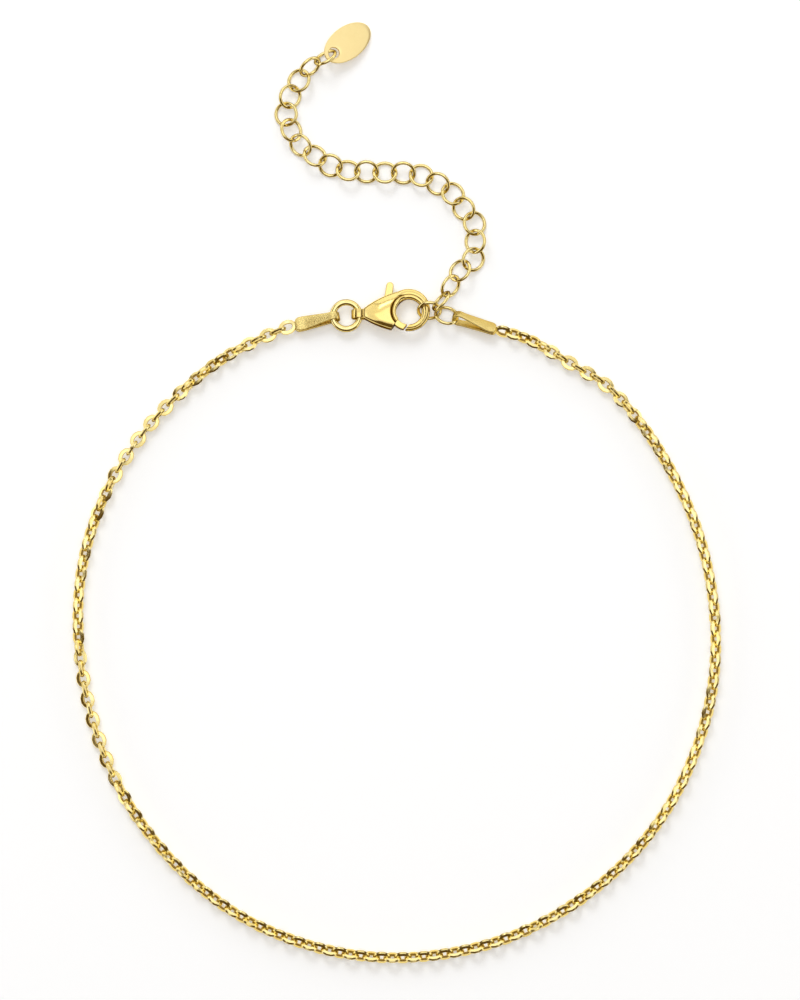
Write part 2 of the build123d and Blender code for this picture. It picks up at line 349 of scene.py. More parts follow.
# %% The chain's route as a smooth curve
chain_height = 0.9
CHAIN_ROUTE = [
    (-12.98, 20.97),
    (-15.30, 20.05),
    (-17.90, 18.90),
    (-20.45, 17.60),
    (-22.80, 16.10),
    (-26.15, 13.45),
    (-31.15, 8.40),
    (-35.20, 2.55),
    (-38.10, -3.95),
    (-39.70, -10.80),
    (-39.90, -17.80),
    (-39.00, -24.70),
    (-37.15, -31.35),
    (-34.35, -37.70),
    (-30.45, -43.40),
    (-25.70, -48.50),
    (-20.10, -52.75),
    (-13.75, -55.75),
    (-6.95, -57.65),
    (0.05, -58.25),
    (7.10, -57.60),
    (13.90, -55.80),
    (20.25, -52.75),
    (26.00, -48.70),
    (30.95, -43.75),
    (34.95, -37.95),
    (37.80, -31.55),
    (39.60, -24.80),
    (40.05, -17.80),
    (39.35, -10.90),
    (37.60, -4.15),
    (34.75, 2.20),
    (31.10, 8.20),
    (26.45, 13.60),
    (22.60, 15.65),
    (18.35, 18.30),
    (15.35, 19.75),
    (12.70, 20.36),
]
route = bpy.data.curves.new("chain_route", "CURVE")
route.dimensions = "3D"
spline = route.splines.new("NURBS")
spline.points.add(len(CHAIN_ROUTE) - 1)
for point, (x, y) in zip(spline.points, CHAIN_ROUTE):
    point.co = (x * MM, y * MM, chain_height * MM, 1.0)
spline.order_u = 3
spline.use_endpoint_u = True
spline.resolution_u = 24
route_object = bpy.data.objects.new("chain_route", route)
bpy.context.scene.collection.objects.link(route_object)
bpy.context.view_layer.update()
route_mesh = bpy.data.meshes.new_from_object(route_object)
line = np.zeros(len(route_mesh.vertices) * 3)
route_mesh.vertices.foreach_get("co", line)
line = line.reshape(-1, 3) / MM
bpy.data.objects.remove(route_object)
line_length = np.concatenate([[0], np.cumsum(np.linalg.norm(np.diff(line, axis=0), axis=1))])
print("route length in mm:", round(float(line_length[-1]), 1))

# %% Where each link sits along the route
LINK_PITCH = 1.32
end_gap = 0.70  # from either end of the route to the middle of the nearest link
link_count = int(round((line_length[-1] - 2 * end_gap) / LINK_PITCH)) + 1
along = np.linspace(end_gap, line_length[-1] - end_gap, link_count)
sight = 0.3  # the chain's direction is taken between points this far on either side


def on_route(distance):
    """Points of the route at distances from its start."""
    return np.stack([np.interp(distance, line_length, line[:, k]) for k in range(3)], -1)


tangent = on_route(along + sight) - on_route(along - sight)
tangent /= np.linalg.norm(tangent, axis=1, keepdims=True)
left = np.stack([-tangent[:, 1], tangent[:, 0], np.zeros(link_count)], -1)
print("links:", link_count, "at a pitch of", round(float(along[1] - along[0]), 3))

# %% [markdown]
# A cable chain that lies loose usually leans: half of its links lean one way and half the
# other. In some stretches it has rolled, so that every second link lies flat. The roll is
# worked out from a short table of places along the chain, and each link adds a little of its
# own, as in a real heap of small rings.

# %% How the chain rolls as it lies
ROLL_AT = [  # share of the way along, and roll in degrees
    (0.00, 8),
    (0.02, 20),
    (0.04, 38),
    (0.06, 32),
    (0.08, 6),
    (0.12, 2),
    (0.14, 28),
    (0.16, 42),
    (0.22, 42),
    (0.24, 12),
    (0.29, 8),
    (0.32, 34),
    (0.40, 40),
    (0.60, 39),
    (0.70, 43),
    (0.90, 43),
    (0.93, 14),
    (0.96, 12),
    (0.98, 36),
    (1.00, 46),
]
roll_spread, yaw_spread = 2.5, 2.0  # degrees
flat_height, upright_lift = 0.75, 0.225  # of a link's middle over the table
share, table_roll = np.array(ROLL_AT, float).T
random = np.random.default_rng(7)
roll = np.interp(np.linspace(0, 1, link_count), share, table_roll)
roll = roll - 90 * (np.arange(link_count) % 2) + random.normal(0, roll_spread, link_count)
yaw = np.radians(random.normal(0, yaw_spread, link_count))
roll_angle = np.radians(roll)
height = flat_height + upright_lift * np.sin(roll_angle) ** 2
print("roll runs from", round(float(roll.min())), "to", round(float(roll.max())), "degrees")

# %% [markdown]
# One link is a ring with an oval hole. Its section is a hexagon: a flat facet above and below,
# and a ridge inside and outside, which is what a diamond cutter leaves. Twelve steps round the
# oval and six corners in the section are enough at this size. The ridge inside gets painted
# shade, and the ridge outside a little, which draws a dark line round each hole.

# %% One link, and all of them
hole_half_length, hole_half_width = 0.66, 0.40
wall_length, wall_width = 0.50, 0.54  # how far the wall reaches beyond the hole
half_thick = 0.24
LINK_STEPS = 12
SECTION = [  # share of the wall from the hole outwards, share of the half thickness, painted shade
    (0.00, 0.00, 1.00),
    (0.16, 1.00, 0.00),
    (0.80, 0.76, 0.00),
    (1.00, 0.00, 0.30),
    (0.80, -0.76, 0.00),
    (0.16, -1.00, 0.00),
]
section_out, section_up, section_painted_shade = np.array(SECTION).T


def oval_link():
    """The oval hole's half lengths grow by the section's first number times the wall, and the
    section's second number times half the thickness is the height."""
    angle = (np.arange(LINK_STEPS) + 0.5) * 2 * np.pi / LINK_STEPS
    x = np.cos(angle)[:, None] * (hole_half_length + wall_length * section_out)
    y = np.sin(angle)[:, None] * (hole_half_width + wall_width * section_out)
    z = np.broadcast_to(half_thick * section_up, x.shape)
    faces = grid_faces(LINK_STEPS, len(SECTION), close_rows=True)
    return np.stack([x, y, z], -1).reshape(-1, 3), faces


link_points, link_faces = oval_link()
upwards = np.array([0, 0, 1])
across = left * np.cos(roll_angle)[:, None] + upwards * np.sin(roll_angle)[:, None]
normal = np.cross(tangent, across)
ahead = tangent * np.cos(yaw)[:, None] + across * np.sin(yaw)[:, None]
sideways = across * np.cos(yaw)[:, None] - tangent * np.sin(yaw)[:, None]
middle = on_route(along)
middle[:, 2] = height
directions = np.stack([ahead, sideways, normal], axis=1)
all_points = middle[:, None] + np.einsum("pk,lkd->lpd", link_points, directions)
link_faces = np.array(outward(link_points, link_faces))
all_faces = link_faces[None] + np.arange(link_count)[:, None, None] * len(link_points)
all_links = (all_points.reshape(-1, 3), all_faces.reshape(-1, 4).tolist())
main_chain = solid("main_chain_links", [all_links], crease=32)
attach(main_chain, "anklet")
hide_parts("main_chain")
main_chain.data.materials.append(link_gold)
# painted shade along the ridges round each link's hole
mark_painted_shade(main_chain, np.tile(section_painted_shade, LINK_STEPS * link_count))
print("faces in the chain:", len(main_chain.data.polygons))

# %% [markdown]
# ## Rings
# The extender is a row of round rings bent from drawn wire, each cut once and soldered. A ring
# is a torus: a circle carried round a circle. The wire swells a little at its solder joint. The
# wire's upright flanks get painted shade, darker and duller than its top, which gives each
# wire its thin dark outline from above.


# %% A ring of round wire
def wire_ring(radius, wire, joint=0.0, joint_at=0.0, around=72, section=18):
    """A circle of the wire's radius carried round a larger circle. Near the angle joint_at the
    wire is thicker by the share joint, which fades as a bell curve."""
    angle = np.arange(around) * 2 * np.pi / around
    turn = np.arange(section) * 2 * np.pi / section
    away = (angle - math.radians(joint_at) + np.pi) % (2 * np.pi) - np.pi
    thick = wire / 2 * (1 + joint * np.exp(-((away * radius / (0.5 * wire)) ** 2)))
    out = radius + thick[:, None] * np.cos(turn)
    x, y = np.cos(angle)[:, None] * out, np.sin(angle)[:, None] * out
    z = thick[:, None] * np.sin(turn)
    return np.stack([x, y, z], -1).reshape(-1, 3), grid_faces(around, section, close_rows=True)


def steepness(thing):
    """How steeply the surface stands at each point: 0 up to 50 degrees, 1 from 70 degrees.
    The upward part of the direction that the surface faces is the cosine of that angle."""
    normals = np.empty(len(thing.data.vertices) * 3, np.float32)
    thing.data.vertices.foreach_get("normal", normals)
    facing_up = np.abs(normals.reshape(-1, 3)[:, 2])
    leaning, upright = 0.64, 0.34
    return np.clip((leaning - facing_up) / (leaning - upright), 0, 1)


ring_radius, ring_wire = 1.38, 0.41
print("a ring has", len(wire_ring(ring_radius, ring_wire)[1]), "faces")

# %% The extender's rings
oval_hole_at = (-7.84, 54.94, 1.40)
clearance = 0.005  # under the lowest ring
wire_flank_shade, jump_flank_shade = 0.65, 0.4  # how much painted shade the upright flanks get, as a share of the full amount
EXTENDER = [  # x, y and roll of each ring, from the one in the right tag
    (6.25, 22.18, 44),
    (4.11, 22.80, 46),
    (5.60, 24.00, 108),
    (6.75, 25.85, 50),
    (7.95, 27.80, -40),
    (9.60, 29.20, 27),
    (9.85, 31.45, -34),
    (9.75, 33.70, 24),
    (8.40, 35.55, -29),
    (7.05, 37.40, 26),
    (5.15, 38.65, -28),
    (3.10, 39.70, 23),
    (0.85, 40.00, -28),
    (-1.45, 40.05, 28),
    (-3.75, 40.15, -28),
    (-6.05, 40.30, 32),
    (-8.25, 40.95, -26),
    (-10.20, 42.15, 33),
    (-12.00, 43.45, -38),
    (-13.15, 45.35, 35),
    (-13.80, 47.35, -22),
    (-13.30, 49.55, 31),
    (-12.20, 51.55, -29),
    (-10.80, 53.25, 58),
    (-8.90, 54.40, -63),
]
HOOKED, HOOKED_LIFT = 1, 0.08  # the ring that the clasp is closed on, and its lift
stops = [(x, y) for x, y, _ in EXTENDER] + [oval_hole_at[:2]]
for index, (x, y, ring_roll) in enumerate(EXTENDER):
    before, after = stops[max(index - 1, 0)], stops[index + 1]
    heading = math.degrees(math.atan2(after[1] - before[1], after[0] - before[0]))
    heading = 0.0 if index == HOOKED else heading
    z = ring_radius * abs(math.sin(math.radians(ring_roll))) + ring_wire / 2 + clearance
    z += HOOKED_LIFT if index == HOOKED else 0.0
    joint_at = 70 + 40 * (index % 3)  # the solder joints don't all face the same way
    shape = wire_ring(ring_radius, ring_wire, 0.05, joint_at)
    node = f"extender_ring_{index + 1:02d}"
    ring = solid(f"wire_{node}", [put(lying((x, y, z), heading, ring_roll), shape)])
    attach(ring, "anklet")
    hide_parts(node)
    ring.data.materials.append(ring_gold)
    # painted shade on the upright flanks of the wire
    mark_painted_shade(ring, wire_flank_shade * steepness(ring))
print("extender rings:", len(EXTENDER))

# %% The heavy jump ring
jump_radius, jump_wire, jump_centre = 1.67, 0.78, (-6.28, 22.15, 1.12)
jump_joint, jump_joint_at = -0.10, -28  # filed thinner at the joint
jump_shape = wire_ring(jump_radius, jump_wire, jump_joint, jump_joint_at, around=120, section=28)
jump = solid("heavy_jump_ring", [put(lying(jump_centre, 0), jump_shape)])
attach(jump, "anklet")
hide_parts("jump_ring")
jump.data.materials.append(ring_gold)
# painted shade on the upright flanks of the wire
mark_painted_shade(jump, jump_flank_shade * steepness(jump))
print("jump ring faces:", len(jump.data.polygons))

# %% [markdown]
# ## End tags
# A strip of sheet is folded in two round a ring and soldered on the chain's last link. It is
# one path seen from its edge, a hairpin, along which a thin rounded rectangle is carried. Its
# width changes on the way: narrow at the fold, wide at the chain, rounded at both ends.


# %% A folded strip
def rounded_rectangle(half_width, half_height, corner, steps=4):
    """Four quarter circles, one round each corner, as one closed outline."""
    turn = np.radians(np.linspace(0, 90, steps))
    quarter = np.stack([np.cos(turn), np.sin(turn)], -1) * corner
    w, h = half_width - corner, half_height - corner
    corners = [
        quarter + (w, h),
        quarter[:, ::-1] * (-1, 1) + (-w, h),
        -quarter + (-w, -h),
        quarter[:, ::-1] * (1, -1) + (w, -h),
    ]
    return np.concatenate(corners)


def leaf_half_width(x, reach):
    """Half the strip's width at a distance from the fold's middle: narrow, then widening
    straight, then closing with a quarter circle at the leaf's end."""
    width = np.interp(x, [tag_fold, tag_close], [tag_neck / 2, tag_wide / 2])
    to_end = np.clip(reach - x, 0, tag_round)
    return width - tag_round + np.sqrt(np.maximum(tag_round**2 - (tag_round - to_end) ** 2, 0))


tag_sheet, tag_edge = 0.22, 0.06  # thickness, and how round its edges are
tag_fold, tag_slit = 0.62, 0.06  # the fold's inner radius, and half the slit between the leaves
tag_neck, tag_wide = 1.00, 1.75  # width at the fold and at the chain
tag_upper, tag_lower, tag_close = 4.80, 4.95, 3.60  # leaf lengths, and where they come together
tag_round = 0.60  # corner radius of the leaves
fold_middle = tag_fold + tag_sheet / 2
leaf_middle = tag_slit + tag_sheet / 2


def hairpin():
    """Stations along the strip: x, z, the direction of travel and the half width."""
    end = tag_round * (1 - np.cos(np.radians(np.linspace(8, 90, 9))))
    level_up = np.stack([tag_upper - end, np.full(len(end), leaf_middle)], -1)
    level_low = np.stack([tag_lower - end, np.full(len(end), -leaf_middle)], -1)
    slope = np.linspace(0, 1, 16)[1:-1, None]
    upper = np.array([tag_close, leaf_middle]) * (1 - slope) + np.array([0, fold_middle]) * slope
    fold = arc_points((0, 0), fold_middle, 90, 270, 19)
    lower = upper[::-1] * (1, -1)
    path = np.concatenate([level_up, [[tag_close, leaf_middle]], upper, fold, lower])
    path = np.concatenate([path, [[tag_close, -leaf_middle]], level_low[::-1]])
    reach = np.where(np.arange(len(path)) < len(path) // 2, tag_upper, tag_lower)
    return path, leaf_half_width(np.maximum(path[:, 0], 0), reach)


def folded_strip(skew):
    """A rounded rectangle carried along the hairpin, square to its line. The lower leaf drifts
    sideways by the skew towards its end, because no strip is folded quite straight."""
    path, half_width = hairpin()
    drift = np.where(path[:, 1] < 0, skew * np.clip(path[:, 0] / tag_lower, 0, 1), 0)
    travel = np.gradient(path, axis=0)
    travel /= np.linalg.norm(travel, axis=1, keepdims=True)
    side = np.stack([-travel[:, 1], travel[:, 0]], -1)
    unit = rounded_rectangle(1.0, tag_sheet / 2, tag_edge)
    across = np.sign(unit[:, 0]) * (np.abs(unit[:, 0]) - 1)
    y = np.sign(unit[:, 0])[None, :] * half_width[:, None] + across[None, :] + drift[:, None]
    x = path[:, 0, None] + side[:, 0, None] * unit[:, 1]
    z = path[:, 1, None] + side[:, 1, None] * unit[:, 1]
    return closed_loft(np.stack([x, y, z], -1))


TAGS = [  # node, middle of the fold, heading, roll, slope and skew
    ("left_end_tag", (-7.93, 21.95, 1.12), 191.5, 20, 2.5, 0.10),
    ("right_end_tag", (7.80, 21.82, 1.17), -17.0, -46, 2.0, -0.06),
]
for node, at, heading, tag_roll, slope, skew in TAGS:
    tag = solid(f"folded_{node}", [put(lying(at, heading, tag_roll, slope), folded_strip(skew))])
    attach(tag, "anklet")
    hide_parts(node)
    tag.data.materials.append(tag_gold)
print("faces of a tag:", len(tag.data.polygons))

# %% [markdown]
# ## The oval tag
# The oval end tag is stamped from thin sheet: slightly domed, with a softened rim and a round
# hole near one end. It is a ring-shaped grid between two outlines, the hole's circle and the
# tag's ellipse, so that its faces flow from one to the other.


# %% A domed oval with a hole
def oval_plate(half_length, half_width, hole, offset, sheet, dome, around=128, across=9):
    """Points slide straight from the hole's circle to the ellipse. The plate is lifted by the
    dome times one minus the squared distance from the middle, and rounded at both edges."""
    angle = np.arange(around) * 2 * np.pi / around
    inner = np.stack([hole * np.cos(angle), hole * np.sin(angle)], -1)
    outer = np.stack([offset + half_length * np.cos(angle), half_width * np.sin(angle)], -1)
    edge = sheet / 2
    span = np.linalg.norm(outer - inner, axis=1)[:, None]
    arc = np.radians(np.linspace(-90, 90, 9))
    near = np.stack([0.6 * edge * (1 - np.cos(arc)), edge * np.sin(arc)], -1)
    flat = np.linspace(0.1, 0.9, across)
    distance = [np.broadcast_to(near[:, 0], (around, len(near)))]
    distance += [flat * span, span - near[::-1, 0][None, :], flat[::-1] * span]
    distance = np.concatenate(distance, axis=1)
    face = np.full(across, edge)
    level = np.concatenate([near[:, 1], face, near[::-1, 1], -face])
    part = (distance / span)[..., None]
    plan = inner[:, None] * (1 - part) + outer[:, None] * part
    out = ((plan[..., 0] - offset) / half_length) ** 2 + (plan[..., 1] / half_width) ** 2
    z = level[None, :] + dome * (1 - out)
    points = np.concatenate([plan, z[..., None]], -1)
    return points.reshape(-1, 3), grid_faces(around, distance.shape[1], close_rows=True)


oval_size = {"half_length": 3.41, "half_width": 2.05, "hole": 0.675, "offset": 2.22}
oval_shape = oval_plate(**oval_size, sheet=0.28, dome=0.03)
oval_place = lying(oval_hole_at, heading=38, slope=12.5)
oval = solid("oval_end_tag", [put(oval_place, oval_shape)], crease=50)
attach(oval, "anklet")
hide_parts("oval_tag")
oval.data.materials.append(oval_gold)
print("faces of the oval tag:", len(oval.data.polygons))

# %% [markdown]
# ## The clasp's body
# A lobster clasp is a casting: a round hook that grows out of a drop-shaped body with domed
# cheeks. Seen from above, it is a band between two outlines, the hook's round hole and the
# outer outline. The grid runs round that band from the hook's tip to the end of the cheeks,
# and the height of each point follows from how far it is from the two edges.

# %% Outline of the clasp
clasp_place = lying((1.61, 22.73, 1.33), 0, -10)
ring_middle, hook_outer = (-0.07, 0.12), 2.66
hole_middle, hook_hole = (-0.07, -0.12), 1.62
tip_top, tip_low = (-5.74, 0.20), (-5.74, -0.88)  # the blunt end beside the eye
shoulder, cheek_foot = (-1.50, 2.40), (-2.25, -2.35)
upper_bulge, lower_bulge = (-3.65, 1.55), (-4.00, -1.78)  # points that the cheeks' arcs pass
pivot, gate_reach, gate_gap = (-2.95, -0.20), 3.10, 0.25
RING_POINTS, UPPER_POINTS, END_POINTS, LOWER_POINTS = 110, 46, 12, 42


def crossing(middle_a, radius_a, middle_b, radius_b, sign):
    """Where two circles cross, by the law of cosines. The sign picks one of the two points."""
    ax, ay = middle_a
    dx, dy = middle_b[0] - ax, middle_b[1] - ay
    apart = math.hypot(dx, dy)
    opening = math.acos((radius_a**2 + apart**2 - radius_b**2) / (2 * radius_a * apart))
    angle = math.atan2(dy, dx) + sign * opening
    return ax + radius_a * math.cos(angle), ay + radius_a * math.sin(angle)


def bearing(middle, point):
    """The direction in degrees from one point to another."""
    return math.degrees(math.atan2(point[1] - middle[1], point[0] - middle[0]))


mouth = gate_reach + gate_gap  # from the pivot to the hook's tip
tip_outer = crossing(ring_middle, hook_outer, pivot, mouth, 1)
tip_inner = crossing(hole_middle, hook_hole, pivot, mouth, 1)
ring_start, ring_end = bearing(ring_middle, tip_outer), bearing(ring_middle, shoulder)
ring_part = arc_points(ring_middle, hook_outer, ring_start, ring_end, RING_POINTS)
tip_blunting = [[0.030], [0.008]]  # how far the first two points move towards the middle
ring_part[:2] += (ring_middle - ring_part[:2]) * tip_blunting
outline = np.concatenate(
    [
        ring_part,
        arc_through(shoulder, upper_bulge, tip_top, UPPER_POINTS)[1:],
        np.linspace(tip_top, tip_low, END_POINTS)[1:],
        arc_through(tip_low, lower_bulge, cheek_foot, LOWER_POINTS)[1:],
    ]
)
print("clasp outline points:", len(outline))

# %% [markdown]
# The inner outline is the hook's hole. Each of its points lies on the line from the hole's
# middle to a point of the outer outline. Only near the two ends of the band do they slide
# along the hole, so that the band ends square to the hook's mouth and behind the gate's arm.

# %% The inner outline
out_angle = np.unwrap(np.arctan2(outline[:, 1] - hole_middle[1], outline[:, 0] - hole_middle[0]))
start_angle = math.radians(bearing(hole_middle, tip_inner))
end_angle = math.radians(215.1)  # where the cheeks end at the hole
start_blend, end_blend = 0.6, 0.5  # radians over which the points slide
from_start = np.clip((out_angle - out_angle[0]) / start_blend, 0, 1)
to_end = np.clip((out_angle[-1] - out_angle) / end_blend, 0, 1)
in_angle = out_angle + (start_angle - out_angle[0]) * (1 - from_start) ** 2
in_angle += (end_angle - out_angle[-1]) * (1 - to_end) ** 2
inline = np.stack([np.cos(in_angle), np.sin(in_angle)], -1) * hook_hole + hole_middle
print("the band runs round the hole by degrees:", round(math.degrees(in_angle[-1] - in_angle[0])))

# %% [markdown]
# Three profiles make the height. The hook has a rounded section with a fine groove. Round the
# hole runs a bead. On the body a dome rises from the outline's sharp edge and stops at the
# bead in a hollow, which is the dark line that such clasps show. A fine crease follows the
# outline. The hollow, the groove and the crease get painted shade, which deepens their dark lines.


# %% The heights of the clasp
def distance_to(points, edge):
    """The distance from each point to the nearest stretch of an open line of points."""
    a, b = edge[:-1], edge[1:]
    run = b - a
    t = np.einsum("pmk,mk->pm", points[:, None] - a, run) / (run**2).sum(1)
    near = a + np.clip(t, 0, 1)[..., None] * run
    return np.linalg.norm(points[:, None] - near, axis=2).min(1)


def smooth(value):
    """Eases from 0 to 1 with no corner at either end."""
    value = np.clip(value, 0, 1)
    return value * value * (3 - 2 * value)


hook_half, crease_half, dome_half = 0.51, 0.60, 0.97  # half the thickness of each
bead_reach, bead_half, hollow_half = 0.50, 0.80, 0.55
round_inner, round_outer = 0.40, 0.50  # how far the hook's rounding reaches from its edges
groove_depth, groove_width = 0.07, 0.06
crease_from_edge, crease_depth, crease_width = 0.11, 0.05, 0.045
stop_reach = 0.26  # over which the dome comes up out of the hollow
hook_to_body, body_to_gate = (98, 40), (266, 16)  # degrees round the hole, and fading width
foot = len(outline) - LOWER_POINTS + 1  # where the lower side of the outline begins
SIDES = [  # stretches of the outline, and how far into the body the dome rises from each
    (outline[RING_POINTS - 10 : foot - 10], 1.7),
    (outline[foot - END_POINTS : foot + 1], 2.4),
    (outline[foot:], 0.95),
]


def bell(distance, width):
    """A bell curve: 1 at no distance, and nearly nothing at twice the width."""
    return np.exp(-((distance / width) ** 2))


def clasp_heights(plan):
    """Half the thickness at points of the plan, and how much painted shade each gets. The hook
    has a rounded section with a groove. It turns into a bead round the hole, beside a dome
    that is the product of one quarter of a sine wave from each side of the outline."""
    flat = plan.reshape(-1, 2)
    from_hole = np.hypot(flat[:, 0] - hole_middle[0], flat[:, 1] - hole_middle[1]) - hook_hole
    from_edge = distance_to(flat, outline)
    angle = np.degrees(np.arctan2(flat[:, 1] - hole_middle[1], flat[:, 0] - hole_middle[0])) % 360
    body = smooth((angle - hook_to_body[0]) / hook_to_body[1])
    body *= smooth((body_to_gate[0] - angle) / body_to_gate[1])
    inner = np.clip(from_hole / round_inner, 0, 1)
    outer = np.clip(from_edge / round_outer, 0, 1)
    round_in = 0.40 + 0.60 * np.sqrt(1 - (1 - inner) ** 2)
    round_out = 0.35 + 0.65 * np.sqrt(1 - (1 - outer) ** 2)
    groove = groove_depth * bell(from_hole - bead_reach, groove_width)
    hook = hook_half * round_in * round_out - groove
    swell = np.clip(1 - ((from_hole - 0.24) / (bead_reach - 0.20)) ** 2, 0, 1)
    bead = hollow_half + (bead_half - hollow_half) * np.sqrt(swell)
    rise = np.ones(len(flat))
    for side, reach in SIDES:
        rise *= np.sin(np.pi / 2 * np.clip(distance_to(flat, side) / reach, 0, 1))
    stop = smooth((from_hole - bead_reach) / stop_reach)
    dome = hollow_half + (crease_half - hollow_half + (dome_half - crease_half) * rise) * stop
    dome -= crease_depth * bell(from_edge - crease_from_edge, crease_width) * stop
    cheek = np.where(from_hole < bead_reach, bead, dome)
    half = hook * (1 - body) + cheek * body
    # painted shade in the hollow beside the bead and along the crease
    hollow_shade = bell(from_hole - bead_reach - 0.03, 0.09) * (0.25 + 0.65 * body)
    crease_shade = 0.7 * body * bell(from_edge - crease_from_edge, 0.05)
    painted_shade = np.maximum(hollow_shade, crease_shade)
    return half.reshape(plan.shape[:2]), painted_shade.reshape(plan.shape[:2])


# %% The clasp's shell
def clasp_shell():
    """Across the band, the first columns keep fixed distances from the hole and the last ones
    from the outline, so that the bead and the groove stay sharp. The top and the underside
    mirror each other, and upright walls join them. Gives the shape and its painted shade."""
    wide = np.linalg.norm(outline - inline, axis=1)[:, None]
    near_hole = np.concatenate([[0, 0.01, 0.03, 0.07], np.arange(0.12, 1.02, 0.045)])
    near_edge = np.array([0.26, 0.20, 0.165, 0.135, 0.11, 0.085, 0.055, 0.02, 0.0])
    full_width = 1.50
    scale = np.minimum(wide / full_width, 1.0)  # narrower steps where the band is narrow
    start, stop = near_hole * scale, wide - near_edge * scale
    between = start[:, -1:] + np.linspace(0, 1, 18)[1:-1] * (stop[:, :1] - start[:, -1:])
    spread = np.concatenate([start, between, stop], axis=1) / wide
    plan = inline[:, None] + spread[..., None] * (outline - inline)[:, None]
    half, painted_shade = clasp_heights(plan)
    top = np.concatenate([plan, half[..., None]], -1)
    bottom = np.concatenate([plan, -half[..., None]], -1)[:, ::-1]
    shape = closed_loft(np.concatenate([top, bottom], axis=1))
    return shape, np.concatenate([painted_shade, painted_shade[:, ::-1]], axis=1)


shell, shell_painted_shade = clasp_shell()
print("clasp shell:", len(shell[0]), "points")

# %% The eye
eye_centre = (-6.31, -0.38, -0.22)
eye_inner, eye_wall, eye_width, eye_corner = 0.64, 0.30, 1.15, 0.10


def eye_band(around=72):
    """A rounded rectangle turned about the clasp's y direction."""
    section = rounded_rectangle(eye_wall / 2, eye_width / 2, eye_corner)
    section = section + (eye_inner + eye_wall / 2, 0)
    angle = np.arange(around) * 2 * np.pi / around
    x = np.cos(angle)[:, None] * section[:, 0]
    z = np.sin(angle)[:, None] * section[:, 0]
    y = np.broadcast_to(section[:, 1], x.shape)
    points = np.stack([x, y, z], -1).reshape(-1, 3) + eye_centre
    return points, grid_faces(around, len(section), close_rows=True)


print("points of the eye:", len(eye_band()[0]))

# %% [markdown]
# The slot for the gate is cut with a Boolean, as a saw would cut it in the casting. Cutting
# keeps the smooth cheeks exactly as they are, which a grid bent round the slot would not.


# %% Plates, cutters and Boolean cuts
def plate(outline_points, half):
    """A flat plate with an outline: one ring of points above it and one below."""
    rings = [np.insert(outline_points, 2, z, axis=1) for z in (half, -half)]
    return closed_loft(np.stack(rings))


def boolean(target, cutter, operation):
    """Applies a Boolean modifier and removes the cutter."""
    modifier = target.modifiers.new("cut", "BOOLEAN")
    modifier.operation, modifier.solver, modifier.object = operation, "EXACT", cutter
    bpy.context.view_layer.update()
    evaluated = target.evaluated_get(bpy.context.evaluated_depsgraph_get())
    mesh = bpy.data.meshes.new_from_object(evaluated)
    target.modifiers.clear()
    target.data = mesh
    bpy.data.objects.remove(cutter)


# %% Cut the slot, join the eye and drill it
slot_half = 0.52
SLOT_POINTS = [  # round the boss, up past the lever, and down along the hook to the arm
    (-3.62, -0.30),
    (-3.75, 0.10),
    (-4.75, 4.2),
    (-1.70, 4.2),
    (-1.70, 0.90),
    (-1.30, -0.20),
    (-1.10, -2.0),
]
slot_low = arc_points(ring_middle, hook_outer + 0.04, 240, 190, 18)
slot_outline = np.concatenate([SLOT_POINTS, slot_low])[::-1]
body = solid("clasp_casting", [put(clasp_place, shell)], crease=38)
# painted shade in the clasp's hollow, groove and crease
mark_painted_shade(body, shell_painted_shade)
slot = solid("slot_cutter", [put(clasp_place, plate(slot_outline, slot_half))])
boolean(body, slot, "DIFFERENCE")
eye = solid("eye_cutter", [put(clasp_place, eye_band())])
boolean(body, eye, "UNION")
eye_hole = arc_points((0, 0), eye_inner, 0, 360, 73)[:-1]
hole_points, hole_faces = plate(eye_hole, 1.0)
hole_points = hole_points[:, [0, 2, 1]] + eye_centre  # lies along y, as the eye's hole does
drill = solid("drill", [put(clasp_place, (hole_points, hole_faces))])
boolean(body, drill, "DIFFERENCE")
body.data.polygons.foreach_set("use_smooth", np.ones(len(body.data.polygons), bool))
body.data.set_sharp_from_angle(angle=math.radians(32))
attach(body, "anklet")
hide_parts("clasp_body")
body.data.materials.clear()
body.data.materials.append(clasp_gold)
print("faces of the clasp's body:", len(body.data.polygons))

# %% [markdown]
# ## The gate
# The gate is a small lever that turns on the pin: its arm closes the hook, and its thumb lever
# stands out of the slot. It is one flat plate with a rounded rim, so its outline is all that
# has to be drawn: arcs of the hook, of the hole, of the boss round the pin and of the tips.
# The pin is hidden inside the casting, so the CAD model's own pin is kept and only plated.

# %% The gate's outline and plate
gate_play = 0.03
gate_half, gate_rim = 0.48, 0.11
boss = 0.62
lever_tip, lever_round = (-2.43, 3.17), 0.46
lever_foot_right, lever_foot_left = (-2.36, -0.26), (-3.42, 0.24)
gate_outer, gate_hole = hook_outer - gate_play, hook_hole + gate_play
arm_outer = crossing(ring_middle, gate_outer, pivot, gate_reach, 1)
arm_inner = crossing(hole_middle, gate_hole, pivot, gate_reach, 1)
boss_low = crossing(pivot, boss, ring_middle, gate_outer, -1)
arm_span = bearing(ring_middle, boss_low) % 360, bearing(ring_middle, arm_outer) % 360
gate_outline = np.concatenate(
    [
        arc_points(ring_middle, gate_outer, *arm_span, 30),
        arc_points(pivot, gate_reach, bearing(pivot, arm_outer), bearing(pivot, arm_inner), 8)[1:],
        arc_points(hole_middle, gate_hole, bearing(hole_middle, arm_inner) % 360, 192, 26)[1:],
        [lever_foot_right],
        arc_points(lever_tip, lever_round, 0, 180, 15),
        [lever_foot_left],
        arc_points(pivot, boss, 150, bearing(pivot, boss_low) % 360, 10)[:-1],
    ]
)
gate = solid("gate_lever", [put(clasp_place, plate(gate_outline, gate_half))], crease=40)
soften = gate.modifiers.new("soft_edges", "BEVEL")
